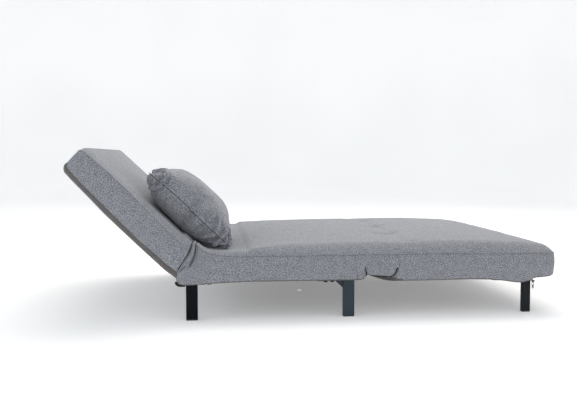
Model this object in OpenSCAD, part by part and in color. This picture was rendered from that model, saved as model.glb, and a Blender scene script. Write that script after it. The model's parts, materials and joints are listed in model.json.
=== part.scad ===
// Fold-out futon sofa bed: a mattress in three sections on a welded steel frame.
// The backrest reclines on ratchet hinges, and the foot section folds over onto
// the seat on a pair of double-pivot links, so that the bed becomes a chair.
// +X runs from the backrest to the foot end, +Y to the sleeper's left, +Z up.
// The origin is on the floor, under the middle of the opened bed.
// Places along the bed are distances from the recline axis, towards the foot end.
// Places on the backrest are [u, v]: u up its slope and v out of its front, both
// from the recline axis.

/* [Bed] */
// Width over the covers
bed_w = 1052; // [1040:2:1080]
// Distance from the recline axis to the foot end
bed_reach = 1292; // [1288:1:1296]
// Height of the sleeping surface
top_z = 235; // [233:1:237]
// Height of the lower edge of the seat's cover
skirt_z = 128; // [126:1:129]
// Height of the underside of the foot section
foot_under_z = 116; // [114:1:118]
// Thickness of a cover
cloth = 3; // [2:0.5:3]

/* [Backrest] */
// Angle of the backrest above the floor
back_angle = 43.2; // [0:0.1:68]
// Length of the backrest up its slope
back_len = 557; // [540:1:560]
// Distance from the recline axis to the backrest's front
back_front = 90; // [88:1:91]
// Distance from the recline axis to the backrest's rear
back_rear = 15; // [14:1:16]

/* [Frame] */
// Side of the square frame tube
tube = 25; // [24:1:26]
// Wall of the frame tube
tube_wall = 1.5; // [1:0.5:3]
// Distance from the middle of the bed to the outside of a side rail
rail_out = 515; // [513:1:515]
// Height of the recline axis, which is also the middle of the seat's rails
recline_z = 144; // [143:1:145]
// Thickness of the hinge plates
plate_t = 5; // [4:0.5:5]
// Gap between a fixed and a moving plate
plate_gap = 0.5; // [0.3:0.1:0.5]
// Diameter of the hinge studs
stud_d = 12; // [10:1:14]

/* [Fold] */
// Place of the seat's fold pivot
fold_pivot = 618; // [617:1:619]
// Distance between the two pivots of a fold link
fold_len = 112; // [111:1:114]
// Height of the fold pivots
fold_z = 188; // [180:1:190]

/* [Legs] */
// Width of a seat leg, along the bed
leg_w = 40; // [36:1:42]
// Depth of a seat leg, across the bed
leg_d = 20; // [16:1:20]
// Place of the rear legs
rear_leg = 3; // [0:1:6]
// Place of the middle legs
mid_leg = 547; // [544:1:548]
// Place of the folding legs under the foot section
foot_leg = 1197; // [1194:1:1199]
// Width of a folding leg, along the bed
foot_leg_w = 32; // [30:1:34]
// Depth of a folding leg, across the bed
foot_leg_d = 16; // [14:1:18]
// Height of the folding legs' pivot
foot_leg_z = 130; // [129:1:131]

/* [Pillow] */
// Width of the pillow, across the bed
pillow_w = 470; // [400:5:500]
// Height of the pillow, up the backrest
pillow_h = 384; // [340:4:390]
// Thickness of the pillow at its middle
pillow_t = 150; // [100:5:152]
// Distance from the middle of the bed to the middle of the pillow
pillow_y = -228; // [-230:2:230]

/* [Hidden] */

// Across the bed
half_w = bed_w / 2;
cover_in = half_w - cloth - 1;
rail_in = rail_out - tube;
fixed_in = rail_in - plate_t;
moving_out = fixed_in - plate_gap;
moving_in = moving_out - plate_t;
stud_head = 4;
back_rail_out = moving_out + tube;
edge_foam_in = rail_out + 1;

// Along the bed: the opened bed's box is centred on the origin
back_corner_r = 14;
back_reach = (back_len - back_corner_r) * cos(back_angle)
    - (back_corner_r - back_rear) * sin(back_angle) + back_corner_r;
recline_x = (back_reach - bed_reach) / 2;
seat_end = 569;
link_foam_gap = 4;
foot_start = fold_pivot + fold_len + 17;

// Heights
rail_z0 = recline_z - tube / 2;
rail_z1 = recline_z + tube / 2;
spring_t = 3.5;
foot_rail_z0 = 147.5;
foot_rail_z1 = foot_rail_z0 + tube;
leg_plate_t = 4;
leg_top = rail_z0 - leg_plate_t;
cap_h = 5;

// The crease: the pads are cut back to planes through the recline axis
crease_angle = 53;
hinge_r = 43;
hinge_gap = 1;
foam_notch_r = 46;

// Ratchet: teeth on the part of the rim that passes the pawl
ratchet_root_r = 30;
ratchet_tip_r = 34;
tooth_pitch = 8;
teeth_from = -62;
teeth_to = 26;
pawl_pivot = [50, 6];
pawl_tip = [34.4, -6.1];

seat_rail_start = -17;
seat_rail_end = 600;
seat_cross = [100, 252, 404, 555];
back_rail_start = 40;
back_rail_end = 530;
back_cross = [105, 243, 381, 517];
foot_rail_start = 748;
foot_rail_end = 1275;
foot_cross = [790, 908, 1026, 1144, 1262];
pocket_start = 1050;
pocket_end = 1218;
mid_plate_start = 434;
bolt_d = 8;
bolt_hole_d = 8.4;
rear_bolts = [40, 62];
mid_bolts = [466, 490];
bolt_y = rail_out - tube / 2;

fabric_grey = [0.56, 0.56, 0.57];
rear_fabric = [0.44, 0.42, 0.41];
foam_white = [0.90, 0.88, 0.80];
frame_black = [0.09, 0.09, 0.10];
leg_blue_grey = [0.16, 0.19, 0.22];
cap_black = [0.05, 0.05, 0.05];
zinc = [0.66, 0.67, 0.68];
webbing_black = [0.15, 0.15, 0.16];

// ---------- helpers ----------

// Points on an arc
function arc(c, r, a0, a1, n = 6) =
    [for (i = [0:n]) let (a = a0 + (a1 - a0) * i / n) c + r * [cos(a), sin(a)]];

// Outline of a rectangle with round corners, about the origin
function round_rect(w, d, r) = concat(
    arc([w / 2 - r, d / 2 - r], r, 0, 90, 4), arc([r - w / 2, d / 2 - r], r, 90, 180, 4),
    arc([r - w / 2, r - d / 2], r, 180, 270, 4), arc([w / 2 - r, r - d / 2], r, 270, 360, 4));

// A drawing in [along, height] becomes a solid from y0 to y1 across the bed
module across(y0, y1) {
    translate([recline_x, y1, 0]) rotate([90, 0, 0]) linear_extrude(y1 - y0) children();
}

// A drawing in [u, v] takes its place on the backrest
module on_back() {
    translate([0, recline_z]) rotate(180 - back_angle) mirror([0, 1]) children();
}

module right() { mirror([0, 1, 0]) children(); }

module both_sides() {
    children();
    right() children();
}

module box(x, y, z) {
    translate([recline_x + x[0], y[0], z[0]]) cube([x[1] - x[0], y[1] - y[0], z[1] - z[0]]);
}

module rect(x, z) { translate([x[0], z[0]]) square([x[1] - x[0], z[1] - z[0]]); }

// A round bar across the bed
module rod(p, y0, y1, d) {
    across(y0, y1) translate(p) circle(d = d, $fn = 48);
}

// Square tube along X
module rail(x, y, z) {
    difference() {
        box(x, y, z);
        box([x[0] - 1, x[1] + 1], [y[0] + tube_wall, y[1] - tube_wall],
            [z[0] + tube_wall, z[1] - tube_wall]);
    }
}

// Square tube across the bed, drawn about the point p
module cross_tube(p, y) {
    across(-y, y) translate(p) difference() {
        square(tube, center = true);
        square(tube - 2 * tube_wall, center = true);
    }
}

// Zigzag spring: a wave of flat wire from x0 to x1
module zigzag(x0, x1, y, z) {
    waves = round((x1 - x0) / 58);
    steps = waves * 8;
    swing = 22;
    half = spring_t / 2;
    function middle(t) = [x0 + (x1 - x0) * t, y + swing * sin(360 * waves * t)];
    function normal(t) = let (d = middle(t + 0.001) - middle(t - 0.001)) [-d[1], d[0]] / norm(d);
    translate([recline_x, 0, z]) linear_extrude(spring_t) polygon(concat(
        [for (i = [0:steps]) middle(i / steps) + half * normal(i / steps)],
        [for (i = [steps:-1:0]) middle(i / steps) - half * normal(i / steps)]));
}

// Rectangular leg tube that stands on its cap
module leg_tube(x, y, w, d, z1) {
    translate([recline_x + x, y, cap_h]) linear_extrude(z1 - cap_h) difference() {
        polygon(round_rect(w, d, 3));
        polygon(round_rect(w - 2 * tube_wall, d - 2 * tube_wall, 1.5));
    }
}

// Plastic end cap with a chamfered sole and a plug up inside the tube
module leg_cap(x, y, w, d) {
    chamfer = 2;
    plug_gap = 0.2;
    translate([recline_x + x, y, 0]) {
        hull() {
            linear_extrude(0.01) polygon(round_rect(w - 2 * chamfer, d - 2 * chamfer, 2));
            translate([0, 0, chamfer]) linear_extrude(cap_h - chamfer) polygon(round_rect(w, d, 3));
        }
        translate([0, 0, cap_h - 0.5]) linear_extrude(16)
            polygon(round_rect(w - 2 * tube_wall - plug_gap, d - 2 * tube_wall - plug_gap, 1.4));
    }
}

// Hex bolt up through a leg plate into the rail, with its nut inside the rail
module bolt(x) {
    hex_d = 15;
    head_h = 5.3;
    nut_h = 6.5;
    shank_h = leg_plate_t + tube_wall + nut_h + 2;
    translate([recline_x + x, bolt_y, 0]) {
        translate([0, 0, leg_top - head_h]) cylinder(h = head_h, d = hex_d, $fn = 6);
        translate([0, 0, leg_top - 0.5]) cylinder(h = shank_h, d = bolt_d, $fn = 32);
        translate([0, 0, rail_z0 + tube_wall]) cylinder(h = nut_h, d = hex_d, $fn = 6);
    }
}

module bolt_holes(places, z) {
    for (x = places) translate([recline_x + x, bolt_y, z - 1])
        cylinder(h = 12, d = bolt_hole_d, $fn = 32);
}

// Hinge stud: welded to a rail's inner face, through both plates, with a head inside
module stud(p) {
    rod(p, moving_in - 0.1, rail_in, stud_d);
    rod(p, moving_in - 0.1 - stud_head, moving_in - 0.1, stud_d + 8);
}

// ---------- outlines of the upholstered sections ----------

module seat_outline(inset) {
    top = top_z - inset;
    crease_x = (top - recline_z) / tan(crease_angle);
    polygon([[0, recline_z], [0, skirt_z], [seat_end + cloth - inset, skirt_z],
        [seat_end + cloth - inset, top], [crease_x, top]]);
}

module back_outline(inset) {
    r = back_corner_r - inset;
    front = back_front - inset;
    end = back_len - inset;
    polygon(concat([[0, 0], [0, inset - back_rear]],
        arc([end - r, inset - back_rear + r], r, -90, 0),
        arc([end - r, front - r], r, 0, 90),
        [[front / tan(crease_angle), front]]));
}

module foot_outline(inset) {
    top_r = 35 - inset;
    low_r = 30 - inset;
    end = bed_reach - inset;
    top = top_z - inset;
    low = foot_under_z + inset;
    polygon(concat([[foot_start, top], [foot_start, low]],
        arc([end - low_r, low + low_r], low_r, -90, 0), arc([end - top_r, top - top_r], top_r, 0, 90)));
}

module hinge_disc(r) { translate([0, recline_z]) circle(r, $fn = 64); }

// ---------- seat ----------

module seat_rail() {
    color(frame_black) difference() {
        rail([seat_rail_start, seat_rail_end], [rail_in, rail_out], [rail_z0, rail_z1]);
        bolt_holes(concat(rear_bolts, mid_bolts), rail_z0 - 3);
    }
}

module seat_cross_rails() {
    color(frame_black) for (x = seat_cross) cross_tube([x, recline_z], rail_in);
}

module seat_springs() {
    color(zinc) for (y = [-360, -120, 120, 360])
        zigzag(seat_cross[0], seat_cross[3], y, rail_z1);
}

module seat_foam() {
    color(foam_white) across(-cover_in, cover_in) difference() {
        intersection() {
            seat_outline(cloth);
            rect([0, seat_end], [rail_z1 + spring_t + 0.2, top_z]);
        }
        hinge_disc(foam_notch_r);
    }
}

module seat_edge_foam() {
    color(foam_white) both_sides() across(edge_foam_in, cover_in)
        rect([foam_notch_r + 4, seat_end], [skirt_z, rail_z1 + spring_t]);
}

// Top and side skirts; the skirts' rear ends are round about the hinge
module seat_cover() {
    front_hem = rail_z1 + spring_t;
    color(fabric_grey) difference() {
        across(-half_w, half_w) {
            seat_outline(0);
            intersection() {
                hinge_disc(hinge_r);
                rect([-hinge_r, hinge_r], [skirt_z, recline_z + hinge_r]);
            }
        }
        across(-cover_in, cover_in) {
            rect([-hinge_r - 1, seat_end], [skirt_z - 1, top_z - cloth]);
            rect([-hinge_r - 1, seat_end + cloth + 1], [skirt_z - 1, front_hem]);
        }
    }
}

module seat_dust_cover() {
    side = moving_in - 6;
    color(webbing_black) box([ratchet_tip_r + 6, seat_end], [-side, side], [rail_z0 - 1.6, rail_z0]);
}

module rear_leg() {
    y = rail_out - 1 - leg_d / 2;
    color(frame_black) {
        leg_tube(rear_leg, y, leg_w, leg_d, leg_top + 1);
        difference() {
            box([rear_leg - leg_w / 2 - 2, 75], [rail_in, rail_out], [leg_top, rail_z0]);
            bolt_holes(rear_bolts, leg_top);
        }
    }
}

// The middle legs carry the fold, so their plate is long and stiffened by a gusset
module mid_leg() {
    y = rail_out - 1 - leg_d / 2;
    gusset_h = 24;
    gusset_l = 30;
    rear = mid_leg - leg_w / 2;
    color(leg_blue_grey) {
        leg_tube(mid_leg, y, leg_w, leg_d, leg_top + 1);
        difference() {
            box([mid_plate_start, rear + leg_w + 1], [rail_in, rail_out], [leg_top, rail_z0]);
            bolt_holes(mid_bolts, leg_top);
        }
        across(y - 2, y + 2) polygon([[rear - gusset_l, leg_top + 1], [rear + 1, leg_top + 1],
            [rear + 1, leg_top - gusset_h], [rear - 3, leg_top - gusset_h]]);
    }
}

module seat_leg_caps() {
    y = rail_out - 1 - leg_d / 2;
    color(cap_black) both_sides() {
        leg_cap(rear_leg, y, leg_w, leg_d);
        leg_cap(mid_leg, y, leg_w, leg_d);
    }
}

module leg_bolts() {
    color(frame_black) both_sides() for (x = concat(rear_bolts, mid_bolts)) bolt(x);
}

// Fixed half of the ratchet hinge, with a lug under the backrest's rail for the flat position
module ratchet_seat_arm() {
    arm_r = 26;
    lug_x = [-54, -20];
    lug_z = [recline_z - 27.5, rail_z0 - 1];
    lug = [[lug_x[0], lug_z[1]], [lug_x[0] + 1.5, lug_z[1] - 5.5], [lug_x[0] + 5, lug_z[1] - 9.5],
        [lug_x[0] + 11, lug_z[0] + 1], [lug_x[0] + 19, lug_z[0]], [lug_x[1], lug_z[0]],
        [lug_x[1], lug_z[0] + 5.5], [lug_x[1] - 14, lug_z[1]]];
    color(frame_black) {
        across(fixed_in, rail_in) difference() {
            union() {
                translate([0, recline_z]) circle(arm_r, $fn = 64);
                rect([0, 72], [rail_z0, rail_z1]);
                polygon([lug[3], lug[4], lug[5], [-2, lug_z[0] + 2], [0, recline_z],
                    [-18, recline_z + 14], lug[7], lug[0], lug[1], lug[2]]);
            }
            translate([0, recline_z]) circle(d = stud_d + 0.1, $fn = 48);
            translate([pawl_pivot[0], recline_z + pawl_pivot[1]]) circle(d = stud_d - 3.9, $fn = 48);
        }
        across(fixed_in, back_rail_out + 2) polygon(lug);
    }
}

module ratchet_studs() {
    pawl_at = [pawl_pivot[0], recline_z + pawl_pivot[1]];
    color(zinc) both_sides() {
        stud([0, recline_z]);
        rod(pawl_at, moving_in - 0.1, rail_in, stud_d - 4);
        rod(pawl_at, moving_in - 2.1, moving_in - 0.1, stud_d);
    }
}

module seat_fold_ears() {
    color(frame_black) both_sides() across(fixed_in, rail_in) difference() {
        union() {
            translate([fold_pivot, fold_z]) circle(15, $fn = 64);
            polygon([[576, rail_z0], [seat_rail_end, rail_z0], [fold_pivot + 14, fold_z - 5],
                [fold_pivot - 4, fold_z + 14], [576, rail_z1]]);
        }
        translate([fold_pivot, fold_z]) circle(d = stud_d + 0.1, $fn = 48);
    }
}

module seat_fold_studs() {
    color(zinc) both_sides() stud([fold_pivot, fold_z]);
}

// Soft wedge that fills the crease between the seat and the backrest
module crease_foam() {
    clear = 2;
    a0 = crease_angle + clear;
    a1 = 180 - back_angle - crease_angle - clear;
    r = (top_z - cloth - recline_z) / sin(crease_angle) - clear;
    color(foam_white) across(-cover_in, cover_in) translate([0, recline_z]) polygon([
        foam_notch_r * [cos(a0), sin(a0)], r * [cos(a0), sin(a0)],
        0.84 * r * [cos((a0 + a1) / 2), sin((a0 + a1) / 2)],
        r * [cos(a1), sin(a1)], foam_notch_r * [cos(a1), sin(a1)]]);
}

module ratchet_pawl() {
    pivot = [pawl_pivot[0], recline_z + pawl_pivot[1]];
    tip = [pawl_tip[0], recline_z + pawl_tip[1]];
    color(zinc) across(moving_in, moving_out) difference() {
        union() {
            translate(pivot) circle(7, $fn = 48);
            polygon([pivot + [-5, 4], tip + [1.2, 1.2], tip + [1.4, -2.4], pivot + [4, -5]]);
        }
        translate(pivot) circle(d = stud_d - 3.9, $fn = 48);
    }
}

// ---------- backrest ----------

module back_rail() {
    wall = tube_wall;
    half = tube / 2;
    color(frame_black) difference() {
        across(moving_out, back_rail_out) on_back() rect([back_rail_start, back_rail_end], [-half, half]);
        across(moving_out + wall, back_rail_out - wall) on_back()
            rect([back_rail_start - 1, back_rail_end + 1], [wall - half, half - wall]);
    }
}

module back_cross_rails() {
    half = tube / 2;
    color(frame_black) for (u = back_cross) across(-moving_out, moving_out) on_back() difference() {
        rect([u - half, u + half], [-half, half]);
        rect([u - half + tube_wall, u + half - tube_wall], [tube_wall - half, half - tube_wall]);
    }
}

// Elastic straps stretched over the front of the backrest's frame
module back_webbing() {
    strap_w = 50;
    strap_t = 1.8;
    color(webbing_black) for (u = [130:65:455])
        across(1 - back_rail_out, back_rail_out - 1) on_back()
            rect([u - strap_w / 2, u + strap_w / 2], [tube / 2, tube / 2 + strap_t]);
}

module back_foam() {
    color(foam_white) across(-cover_in, cover_in) on_back() difference() {
        intersection() {
            back_outline(cloth);
            rect([0, back_len], [tube / 2 + 2.5, back_front]);
        }
        circle(foam_notch_r, $fn = 64);
    }
}

module back_edge_foam() {
    v = [-tube / 2, tube / 2 + 2.5];
    color(foam_white) {
        both_sides() across(edge_foam_in, cover_in) on_back() rect([foam_notch_r + 4, back_rail_end + 8], v);
        across(-cover_in, cover_in) on_back() intersection() {
            back_outline(cloth);
            rect([back_rail_end + 8, back_len], v);
        }
    }
}

module back_cover() {
    color(fabric_grey) {
        across(-half_w, half_w) on_back() difference() {
            back_outline(0);
            back_outline(cloth);
            circle(foam_notch_r, $fn = 64);
            rect([-1, back_len - 16], [-back_rear - 1, tube / 2 + 2.5]);
        }
        both_sides() across(cover_in, half_w) on_back() difference() {
            back_outline(0);
            circle(hinge_r + hinge_gap, $fn = 64);
        }
    }
}

module back_panel() {
    lug_end = 66;
    color(rear_fabric) across(0.5 - cover_in, cover_in - 0.5) on_back()
        rect([lug_end, back_len - 17], [-back_rear, -back_rear + 2]);
}

// Moving half of the ratchet hinge: a toothed disc with a tail along the rail
function toothed_arm() = let (
    count = floor((teeth_to - teeth_from) / tooth_pitch),
    last = teeth_from + count * tooth_pitch,
    up = [-cos(back_angle), sin(back_angle)],
    out = [sin(back_angle), cos(back_angle)],
    tail_l = 88,
    tail_half = tube / 2 - 0.5,
    root_a = asin(tail_half / ratchet_root_r)
) concat(
    [for (i = [0:count - 1], p = [[0, ratchet_root_r], [1, ratchet_tip_r], [2, ratchet_tip_r]])
        let (a = teeth_from + i * tooth_pitch + p[0]) p[1] * [cos(a), sin(a)]],
    arc([0, 0], ratchet_root_r, last, 180 - back_angle - root_a, 12),
    [tail_l * up + tail_half * out, tail_l * up - tail_half * out],
    arc([0, 0], ratchet_root_r, 180 - back_angle + root_a, teeth_from + 352, 12));

module ratchet_back_arm() {
    color(frame_black) across(moving_in, moving_out) translate([0, recline_z]) difference() {
        polygon(toothed_arm());
        circle(d = stud_d + 0.1, $fn = 48);
    }
}

// ---------- fold links ----------

module fold_link() {
    far = fold_pivot + fold_len;
    color(frame_black) across(moving_in, moving_out) difference() {
        union() {
            rect([fold_pivot, far], [fold_z - 15, fold_z + 15]);
            for (x = [fold_pivot, far]) translate([x, fold_z]) circle(15, $fn = 64);
        }
        for (x = [fold_pivot, far]) translate([x, fold_z]) circle(d = stud_d + 0.1, $fn = 48);
    }
}

// Tube that ties the two links together
module fold_cross_tube() {
    color(frame_black) across(-moving_in, moving_in) translate([fold_pivot + fold_len / 2, fold_z])
        difference() {
            circle(d = 16, $fn = 48);
            circle(d = 13, $fn = 48);
        }
}

module fold_foam() {
    color(foam_white) across(-cover_in, cover_in)
        rect([seat_end + link_foam_gap, foot_start - link_foam_gap], [fold_z + 16, top_z - cloth]);
}

// Middle flap: it covers the links and ends in a rounded tongue at each side
module fold_cover() {
    x = [seat_end + link_foam_gap, foot_start - link_foam_gap];
    tongue_z = fold_z - 44;
    r = 24;
    color(fabric_grey) {
        across(-half_w, half_w) rect(x, [top_z - cloth, top_z]);
        both_sides() across(cover_in, half_w) polygon(concat(
            [[x[0], top_z], [x[0], fold_z]], arc([x[0] + 46, tongue_z + r], r, 180, 270),
            arc([x[1] - 30, tongue_z + r], r, 270, 360), [[x[1], fold_z], [x[1], top_z]]));
    }
}

// ---------- foot section ----------

module foot_rail() {
    color(frame_black)
        rail([foot_rail_start, foot_rail_end], [rail_in, rail_out], [foot_rail_z0, foot_rail_z1]);
}

module foot_cross_rails() {
    color(frame_black) for (x = foot_cross) cross_tube([x, foot_rail_z0 + tube / 2], rail_in);
}

module foot_springs() {
    color(zinc) for (y = [-360, -120, 120, 360])
        zigzag(foot_cross[0], foot_cross[4], y, foot_rail_z1);
}

// The pad's rear end is cut back over the fold ears
module foot_foam() {
    ear_end = 776;
    color(foam_white) across(-cover_in, cover_in) difference() {
        intersection() {
            foot_outline(cloth);
            rect([foot_start, bed_reach], [foot_rail_z1 + spring_t + 0.2, top_z]);
        }
        rect([foot_start - 1, ear_end], [foot_rail_z0, fold_z + 16]);
    }
}

module foot_edge_foam() {
    z = [foot_under_z, foot_rail_z1 + spring_t];
    color(foam_white) {
        both_sides() across(edge_foam_in, cover_in) intersection() {
            foot_outline(cloth);
            rect([foot_start, foot_rail_end + 1], z);
        }
        across(-cover_in, cover_in) intersection() {
            foot_outline(cloth);
            rect([foot_rail_end + 1, bed_reach], z);
        }
    }
}

// Soft underside, in front of and behind the pocket for the folded legs
module foot_under_pads() {
    z = [foot_under_z + cloth, foot_rail_z0 - 1];
    color(foam_white) {
        box([foot_start, pocket_start], [-rail_out, rail_out], z);
        box([pocket_end + 4, bed_reach - 32], [-rail_out, rail_out], z);
    }
}

module foot_cover() {
    color(fabric_grey) difference() {
        across(-half_w, half_w) foot_outline(0);
        across(-cover_in, cover_in) {
            foot_outline(cloth);
            rect([foot_start - 1, foot_start + 1], [foot_under_z + cloth, top_z - cloth]);
            rect([pocket_start, pocket_end], [foot_under_z - 1, foot_under_z + cloth + 1]);
        }
    }
}

// Flap that closes the leg pocket; it hangs a little when the legs are out
module foot_pocket_flap() {
    sag = 7;
    color(fabric_grey) across(1 - cover_in, cover_in - 1)
        rect([pocket_start + 1, foot_leg - foot_leg_w / 2 - 4], [foot_under_z - sag - 2, foot_under_z - sag]);
}

module foot_fold_ears() {
    pivot = fold_pivot + fold_len;
    color(frame_black) both_sides() across(fixed_in, rail_in) difference() {
        union() {
            translate([pivot, fold_z]) circle(15, $fn = 64);
            polygon([[pivot - 13, fold_z - 6], [foot_rail_start, foot_rail_z0], [773, foot_rail_z0],
                [773, foot_rail_z1], [pivot + 8, fold_z + 12]]);
        }
        translate([pivot, fold_z]) circle(d = stud_d + 0.1, $fn = 48);
    }
}

module foot_fold_studs() {
    color(zinc) both_sides() stud([fold_pivot + fold_len, fold_z]);
}

// Plates on the rails' inner faces that carry the folding legs' pivot tube
module foot_leg_brackets() {
    hole_d = 19.2;
    color(frame_black) both_sides() across(rail_in - 3, rail_in) difference() {
        union() {
            translate([foot_leg, foot_leg_z]) circle(15, $fn = 64);
            rect([foot_leg - 15, foot_leg + 15], [foot_leg_z, foot_rail_z1]);
        }
        translate([foot_leg, foot_leg_z]) circle(d = hole_d, $fn = 48);
    }
}

module foot_zip_tape() {
    tape_half = 518;
    color(webbing_black) box([pocket_end - 1, pocket_end + 11], [-tape_half, tape_half],
        [foot_under_z - 2, foot_under_z]);
}

// ---------- folding legs ----------

module foot_leg() {
    y = rail_out - 3 - foot_leg_d / 2;
    color(frame_black) {
        leg_tube(foot_leg, y, foot_leg_w, foot_leg_d, foot_leg_z);
        rod([foot_leg, foot_leg_z], y - foot_leg_d / 2, y + foot_leg_d / 2, foot_leg_w);
    }
}

module foot_leg_tube() {
    end = rail_out - 3 - foot_leg_d;
    color(frame_black) across(-end, end) translate([foot_leg, foot_leg_z]) difference() {
        circle(d = 19, $fn = 48);
        circle(d = 16, $fn = 48);
    }
}

module foot_leg_caps() {
    y = rail_out - 3 - foot_leg_d / 2;
    color(cap_black) both_sides() leg_cap(foot_leg, y, foot_leg_w, foot_leg_d);
}

// ---------- zip ----------

zip_x = pocket_end + 5;
zip_y = -507;
slider_top = foot_under_z - 2.4;

// Slider body with a bridge that the pull hangs from
module zip_slider() {
    color(zinc) difference() {
        union() {
            box([zip_x - 5, zip_x + 5], [zip_y - 7, zip_y + 7], [slider_top - 3, slider_top]);
            box([zip_x - 1.5, zip_x + 1.5], [zip_y - 5, zip_y + 5], [slider_top - 8, slider_top - 2]);
        }
        box([zip_x - 3, zip_x + 3], [zip_y - 3.2, zip_y + 3.2], [slider_top - 6.5, slider_top - 3]);
    }
}

// Pull: a ring whose top bar turns in the bridge, and a long tab that hangs from it
module zip_pull() {
    wire = 1.8;
    bar = 0.6;
    ring = [8.4, 13];
    opening = ring - [3.6, 3];
    tab = [7, 17];
    tab_z = -16.5;
    color(zinc) translate([recline_x + zip_x, zip_y, slider_top - 5.4]) {
        rotate([0, 90, 0]) cylinder(h = ring[0], d = wire, center = true, $fn = 24);
        rotate([90, 0, 0]) linear_extrude(wire - 0.2, center = true) difference() {
            union() {
                translate([0, bar - ring[1] / 2]) polygon(round_rect(ring[0], ring[1], 0.8));
                translate([0, tab_z]) polygon(round_rect(tab[0], tab[1], 3));
            }
            translate([0, -bar - opening[1] / 2]) polygon(round_rect(opening[0], opening[1], 0.6));
            translate([0, tab_z - tab[1] / 2 + 4.5]) circle(d = 3, $fn = 24);
        }
    }
}

// ---------- pillow ----------

// Knife-edged pillow: outline pulled in between its corners, crowned on both faces
pillow_grid = 14;
pillow_u = 162;
pillow_v = 173;

// Half thickness and place at the grid's [s, t], both from -1 to 1
function pillow_point(s, t, w, h, thick, side) = let (
    rim = 1.2,
    y = w / 2 * s * (1 - 0.05 * (1 - t * t)),
    u = h / 2 * t * (1 - 0.05 * (1 - s * s)),
    lift = rim + (thick / 2 - rim) * pow(max(0, (1 - s * s) * (1 - t * t)), 0.5),
    slope = [-cos(back_angle), sin(back_angle)],
    out = [sin(back_angle), cos(back_angle)],
    p = (pillow_u + u) * slope + (pillow_v + side * lift) * out
) [recline_x + p[0], pillow_y + y, recline_z + p[1]];

module pillow_solid(inset) {
    n = pillow_grid;
    m = n + 1;
    w = pillow_w - 2 * inset;
    h = pillow_h - 2 * inset;
    thick = pillow_t - 2 * inset;
    points = [for (side = [1, -1]) for (j = [0:n]) for (i = [0:n])
        pillow_point(sin(90 * (2 * i / n - 1)), sin(90 * (2 * j / n - 1)), w, h, thick, side)];
    function id(side, i, j) = side * m * m + j * m + i;
    front = [for (j = [0:n - 1]) for (i = [0:n - 1]) for (k = [0, 1]) k == 0
        ? [id(0, i, j), id(0, i + 1, j), id(0, i + 1, j + 1)]
        : [id(0, i, j), id(0, i + 1, j + 1), id(0, i, j + 1)]];
    back = [for (j = [0:n - 1]) for (i = [0:n - 1]) for (k = [0, 1]) k == 0
        ? [id(1, i, j), id(1, i + 1, j + 1), id(1, i + 1, j)]
        : [id(1, i, j), id(1, i, j + 1), id(1, i + 1, j + 1)]];
    rim = [for (i = [0:n - 1]) each [
        [id(0, i, 0), id(1, i, 0), id(1, i + 1, 0)], [id(0, i, 0), id(1, i + 1, 0), id(0, i + 1, 0)],
        [id(0, i, n), id(1, i + 1, n), id(1, i, n)], [id(0, i, n), id(0, i + 1, n), id(1, i + 1, n)],
        [id(0, 0, i), id(1, 0, i + 1), id(1, 0, i)], [id(0, 0, i), id(0, 0, i + 1), id(1, 0, i + 1)],
        [id(0, n, i), id(1, n, i), id(1, n, i + 1)], [id(0, n, i), id(1, n, i + 1), id(0, n, i + 1)]]];
    polyhedron(points, [for (f = concat(front, back, rim)) [f[2], f[1], f[0]]], convexity = 4);
}

module pillow_cover() {
    color(fabric_grey) difference() {
        pillow_solid(0);
        pillow_solid(cloth);
    }
}

module pillow_insert() { color(foam_white) pillow_solid(cloth + 0.5); }

seat_rail();  // seat_side_rail_left
right() seat_rail();  // seat_side_rail_right
seat_cross_rails();
seat_springs();
seat_foam();
seat_edge_foam();
seat_cover();
seat_dust_cover();
rear_leg();  // rear_leg_left
right() rear_leg();  // rear_leg_right
mid_leg();  // mid_leg_left
right() mid_leg();  // mid_leg_right
seat_leg_caps();
leg_bolts();
ratchet_seat_arm();  // ratchet_seat_arm_left
right() ratchet_seat_arm();  // ratchet_seat_arm_right
ratchet_studs();
seat_fold_ears();
seat_fold_studs();
crease_foam();
ratchet_pawl();  // ratchet_pawl_left
right() ratchet_pawl();  // ratchet_pawl_right
back_rail();  // back_side_rail_left
right() back_rail();  // back_side_rail_right
back_cross_rails();
back_webbing();
back_foam();
back_edge_foam();
back_cover();
back_panel();
ratchet_back_arm();  // ratchet_back_arm_left
right() ratchet_back_arm();  // ratchet_back_arm_right
fold_link();  // fold_link_left
right() fold_link();  // fold_link_right
fold_cross_tube();
fold_foam();
fold_cover();
foot_rail();  // foot_side_rail_left
right() foot_rail();  // foot_side_rail_right
foot_cross_rails();
foot_springs();
foot_foam();
foot_edge_foam();
foot_under_pads();
foot_cover();
foot_pocket_flap();
foot_fold_ears();
foot_fold_studs();
foot_leg_brackets();
foot_zip_tape();
foot_leg();  // foot_leg_left
right() foot_leg();  // foot_leg_right
foot_leg_tube();
foot_leg_caps();
zip_slider();
zip_pull();
pillow_cover();
pillow_insert();
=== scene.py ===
"""Looks of a fold-out futon sofa bed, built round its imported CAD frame.

Lengths are in millimetres until add_mesh() turns them into metres.
Places along the bed are [x, z]: x from the recline axis towards the foot end, z above the floor.
Places on the backrest are u up its slope and v out of its front, both from the recline axis.
"""

import json
import math

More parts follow.
